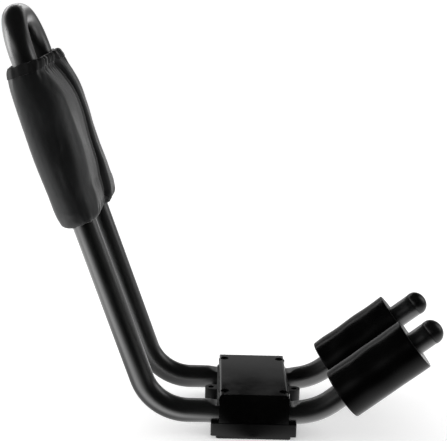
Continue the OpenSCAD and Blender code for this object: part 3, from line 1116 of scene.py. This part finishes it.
    def build_hooks(self, body: Piece) -> Piece:
        """Hook tape that comes out from under the flap's edge into the channel.

        Args:
            body: the padded body.

        Returns:
            The piece.
        """
        t = np.linspace(209 * MM, 315 * MM, 60)[:, None]
        edge, _ = self.seam(t)
        points, _ = self.strip(t, edge - 2.5 * MM, edge + 8 * MM, 24)
        piece = grid_object("hook_strip", points, wrap=False, closed=False)
        self.laid_on(piece, body, 0.3 * MM)
        thicken(piece, 0.8 * MM)
        HOOKS.dress(piece)
        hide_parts("hook_tape")
        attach(piece, BODY)
        return piece

    def build(self) -> None:
        """Builds the sleeve and what lies on it."""
        body = self.build_body()
        band = self.build_band(body)
        flap = self.build_flap(body)
        hooks = self.build_hooks(body)
        for piece in (body, band, flap, hooks):
            log.info("%s: %d faces", piece.name, len(piece.data.polygons))


@dataclass
class Mount:
    """Moulded two-part mount with its plate and fasteners, kept as the frame has them."""

    finishes: dict = field(default_factory=lambda: {
        "base_saddle": BASE_NYLON, "base_pad": PAD_RUBBER, "clamp_plate": PLATE_COAT, "top_cover": COVER_ABS,
        "cover_screws": BLACK_SCREW, "screw_washers": ZINC_STEEL, "lock_nuts": ZINC_STEEL,
        "tube_spacers": ZINC_STEEL,
    })

    def build(self) -> None:
        """Gives every kept node its finish."""
        for node, finish in self.finishes.items():
            finish.dress(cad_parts[node])
            log.info("kept node %s: %s", node, finish.name)


@dataclass
class Studio:
    """Camera, lamps, floor and surroundings."""

    # Camera fitted to the picture's edges, in the part's frame: metres and degrees
    place: tuple = (-0.04943, -1.15391, 0.52242)
    yaw: float = 0.511
    pitch: float = 13.978
    roll: float = 1.516
    # A focal length of 1056.61 pixels in a picture 447 wide, on a sensor 36 mm wide
    lens: float = 1056.61 * 36 / 447
    floor_half: float = 30.0
    # Where the pattern of light on the floor is centred, in front of the part
    glow_y: float = -0.07

    def camera(self) -> None:
        """Sets the camera at the picture's angle."""
        yaw, pitch, roll = (math.radians(v) for v in (self.yaw, self.pitch, self.roll))
        forward = Vector((math.sin(yaw) * math.cos(pitch), math.cos(yaw) * math.cos(pitch), -math.sin(pitch)))
        right = forward.cross(Vector((0, 0, 1))).normalized()
        up = right.cross(forward)
        right, up = math.cos(roll) * right + math.sin(roll) * up, math.cos(roll) * up - math.sin(roll) * right
        data = bpy.data.cameras.new("camera")
        data.sensor_width = 36
        data.sensor_fit = "HORIZONTAL"
        data.lens = self.lens
        data.clip_start, data.clip_end = 0.05, 100
        cam = bpy.data.objects.new("camera", data)
        cam.matrix_world = Matrix((right, up, -forward)).transposed().to_4x4()
        cam.location = self.place
        bpy.context.scene.collection.objects.link(cam)
        bpy.context.scene.camera = cam

    def lamp(self, name: str, place: tuple, aim: tuple, size: tuple, power: float) -> None:
        """Adds one soft rectangular lamp.

        Args:
            name: what it is.
            place: its middle, in metres.
            aim: the point that it looks at.
            size: width and height in metres.
            power: in watts.
        """
        data = bpy.data.lights.new(name, "AREA")
        data.shape = "RECTANGLE"
        data.size, data.size_y = size
        data.energy = power
        obj = bpy.data.objects.new(name, data)
        obj.location = place
        obj.rotation_euler = (Vector(aim) - Vector(place)).to_track_quat("-Z", "Y").to_euler()
        bpy.context.scene.collection.objects.link(obj)

    def surroundings(self) -> None:
        """White to the camera. Reflections see a low wall of light behind the part and one at its left.

        The wall behind is dimmer near the floor on its right. Between the walls and above them
        reflections see nothing. All other rays see an even light of three quarters.
        """
        world = bpy.data.worlds.new("studio")
        bpy.context.scene.world = world
        world.use_nodes = True
        tree = world.node_tree
        tree.nodes.clear()
        way = add(tree, "ShaderNodeSeparateXYZ", {0: add(tree, "ShaderNodeTexCoord").outputs["Generated"]})
        path = add(tree, "ShaderNodeLightPath").outputs
        slopes = {
            "depth": ("Y", -0.2, 0.3, 0.0, 0.5),
            "high": ("Z", 0.35, 0.395, 1.0, 0.0),
            "side": ("X", -0.15, 0.15, 1.0, 0.35),
            "above": ("Z", 0.1, 0.25, 0.0, 1.0),
            "left": ("X", -0.85, -0.25, 1.3, 0.0),
            "low_left": ("Z", 0.28, 0.45, 1.0, 0.0),
        }
        joins = {
            "open_side": ("MAXIMUM", "side", "above"),
            "back_wall": ("MULTIPLY", "depth", "high"),
            "back_side": ("MULTIPLY", "back_wall", "open_side"),
            "left_wall": ("MULTIPLY", "left", "low_left"),
            "gloss": ("MAXIMUM", "back_side", "left_wall"),
            "clear": ("MAXIMUM", "Is Camera Ray", "Is Transmission Ray"),
        }
        light = light_pattern(tree, {**dict(way.outputs.items()), **dict(path.items())}, slopes, joins)
        mirror = add(tree, "ShaderNodeMix", {0: path["Is Glossy Ray"], 2: 0.75, 3: light["gloss"]})
        level = add(tree, "ShaderNodeMix", {0: light["clear"], 2: mirror.outputs[0], 3: 1.0})
        back = add(tree, "ShaderNodeBackground", {"Color": (1, 1, 1, 1), "Strength": level.outputs[0]})
        add(tree, "ShaderNodeOutputWorld", {"Surface": back.outputs[0]})

    def floor(self) -> None:
        """Wide floor of white paper, which the camera sees a little brighter than its lamps make it.

        Reflections see a pattern of light instead of the paper: a glow that fades out in front
        of the part, less a shade behind it, far at its right and in a strip left of its middle,
        and a lobe in front of it at the left. Facing, the distance ahead of the pattern's centre
        over the whole distance from it, is 1 in front, 0 beside and -1 behind.
        """
        x, y = np.meshgrid([-self.floor_half, self.floor_half], [-self.floor_half, self.floor_half])
        piece = grid_object("floor", np.stack([x, y, 0 * x], -1), wrap=False, closed=False)
        mat = bpy.data.materials.new("matt white paper")
        mat.use_nodes = True
        tree = mat.node_tree
        tree.nodes.clear()
        where = add(tree, "ShaderNodeTexCoord").outputs["Object"]
        path = add(tree, "ShaderNodeLightPath").outputs
        fibre = add(tree, "ShaderNodeTexNoise", {"Vector": where, "Scale": 900.0, "Detail": 2.0})
        pale = {"Value": fibre.outputs["Fac"], "To Min": 0.93, "To Max": 0.95}
        tone = add(tree, "ShaderNodeMapRange", pale)
        paper = add(tree, "ShaderNodeBsdfDiffuse", {"Color": tone.outputs[0]})
        place = add(tree, "ShaderNodeSeparateXYZ", {0: where}).outputs
        ahead = add(tree, "ShaderNodeMath", {0: self.glow_y, 1: place["Y"]}, operation="SUBTRACT")
        spot = add(tree, "ShaderNodeCombineXYZ", {"X": place["X"], "Y": ahead.outputs[0]})
        far = add(tree, "ShaderNodeVectorMath", {0: spot.outputs[0]}, operation="LENGTH")
        share = {0: ahead.outputs[0], 1: far.outputs["Value"]}
        facing = add(tree, "ShaderNodeMath", share, operation="DIVIDE")
        slopes = {
            "near": ("facing", 0.9, 0.0, 0.0, 1.3),
            "right": ("X", -0.45, -0.2, 0.0, 0.7),
            "behind": ("Y", 0.25, 0.5, 0.0, 1.0),
            "beyond": ("Y", 1.3, 1.8, 1.0, 0.0),
            "middle": ("X", -0.12, 0.0, 1.0, 0.0),
            "outer": ("X", 0.25, 1.0, 0.0, 0.6),
            "start": ("facing", 0.0, 0.25, 0.0, 2.2),
            "fade": ("facing", 0.95, 0.3, 0.0, 1.0),
            "beside": ("X", -0.1, 0.0, 1.0, 0.0),
            "apart": ("X", -0.75, -0.55, 0.0, 1.0),
        }
        joins = {
            "band": ("MULTIPLY", "behind", "beyond"),
            "close": ("MULTIPLY", "right", "band"),
            "strip": ("MULTIPLY", "right", "middle"),
            "centre": ("MAXIMUM", "close", "strip"),
            "shade": ("MAXIMUM", "centre", "outer"),
            "kept": ("SUBTRACT", 1.0, "shade"),
            "below": ("MULTIPLY", "near", "kept"),
            "lobe": ("MULTIPLY", "start", "fade"),
            "side_lobe": ("MULTIPLY", "lobe", "beside"),
            "left_lobe": ("MULTIPLY", "side_lobe", "apart"),
            "level": ("ADD", "below", "left_lobe"),
            "lift": ("MULTIPLY", "Is Camera Ray", 0.34),
            "seen": ("MAXIMUM", "Is Glossy Ray", "Is Transmission Ray"),
        }
        values = {**dict(place.items()), **dict(path.items()), "facing": facing.outputs[0]}
        light = light_pattern(tree, values, slopes, joins)
        white = add(tree, "ShaderNodeEmission", {"Color": (1, 1, 1, 1), "Strength": light["lift"]})
        lit = add(tree, "ShaderNodeAddShader", {0: paper.outputs[0], 1: white.outputs[0]})
        glow = add(tree, "ShaderNodeEmission", {"Color": (1, 1, 1, 1), "Strength": light["level"]})
        mix = add(tree, "ShaderNodeMixShader", {0: light["seen"], 1: lit.outputs[0], 2: glow.outputs[0]})
        add(tree, "ShaderNodeOutputMaterial", {"Surface": mix.outputs[0]})
        piece.data.materials.append(mat)

    def build(self) -> None:
        """Sets the whole studio."""
        self.camera()
        self.lamp("left softbox", (-1.3, 0.0, 0.45), (-0.1, 0, 0.2), (0.6, 0.8), 5)
        self.lamp("right softbox", (1.15, 0.4, 0.75), (-0.1, 0, 0.25), (0.5, 0.8), 1.8)
        self.lamp("rear strip", (-0.45, 1.0, 0.8), (0.1, 0, 0.1), (1.0, 0.12), 1.2)
        self.surroundings()
        self.floor()
        bpy.context.scene.view_settings.view_transform = "Standard"


def main() -> None:
    """Builds the studio, then each sub-assembly, and notes the sizes."""
    logging.basicConfig(level=logging.INFO, format="%(name)s: %(message)s")
    bpy.context.view_layer.update()
    Studio().build()
    BentTube().build()
    ArmEnd(-1, "front", 14.0 * MM, 99 * MM, 30.2 * MM, 3).build()
    ArmEnd(1, "rear", 7.0 * MM, 100 * MM, 30.5 * MM, 8).build()
    Sleeve().build()
    Mount().build()
    bpy.context.view_layer.update()


if __name__ == "__main__":
    main()
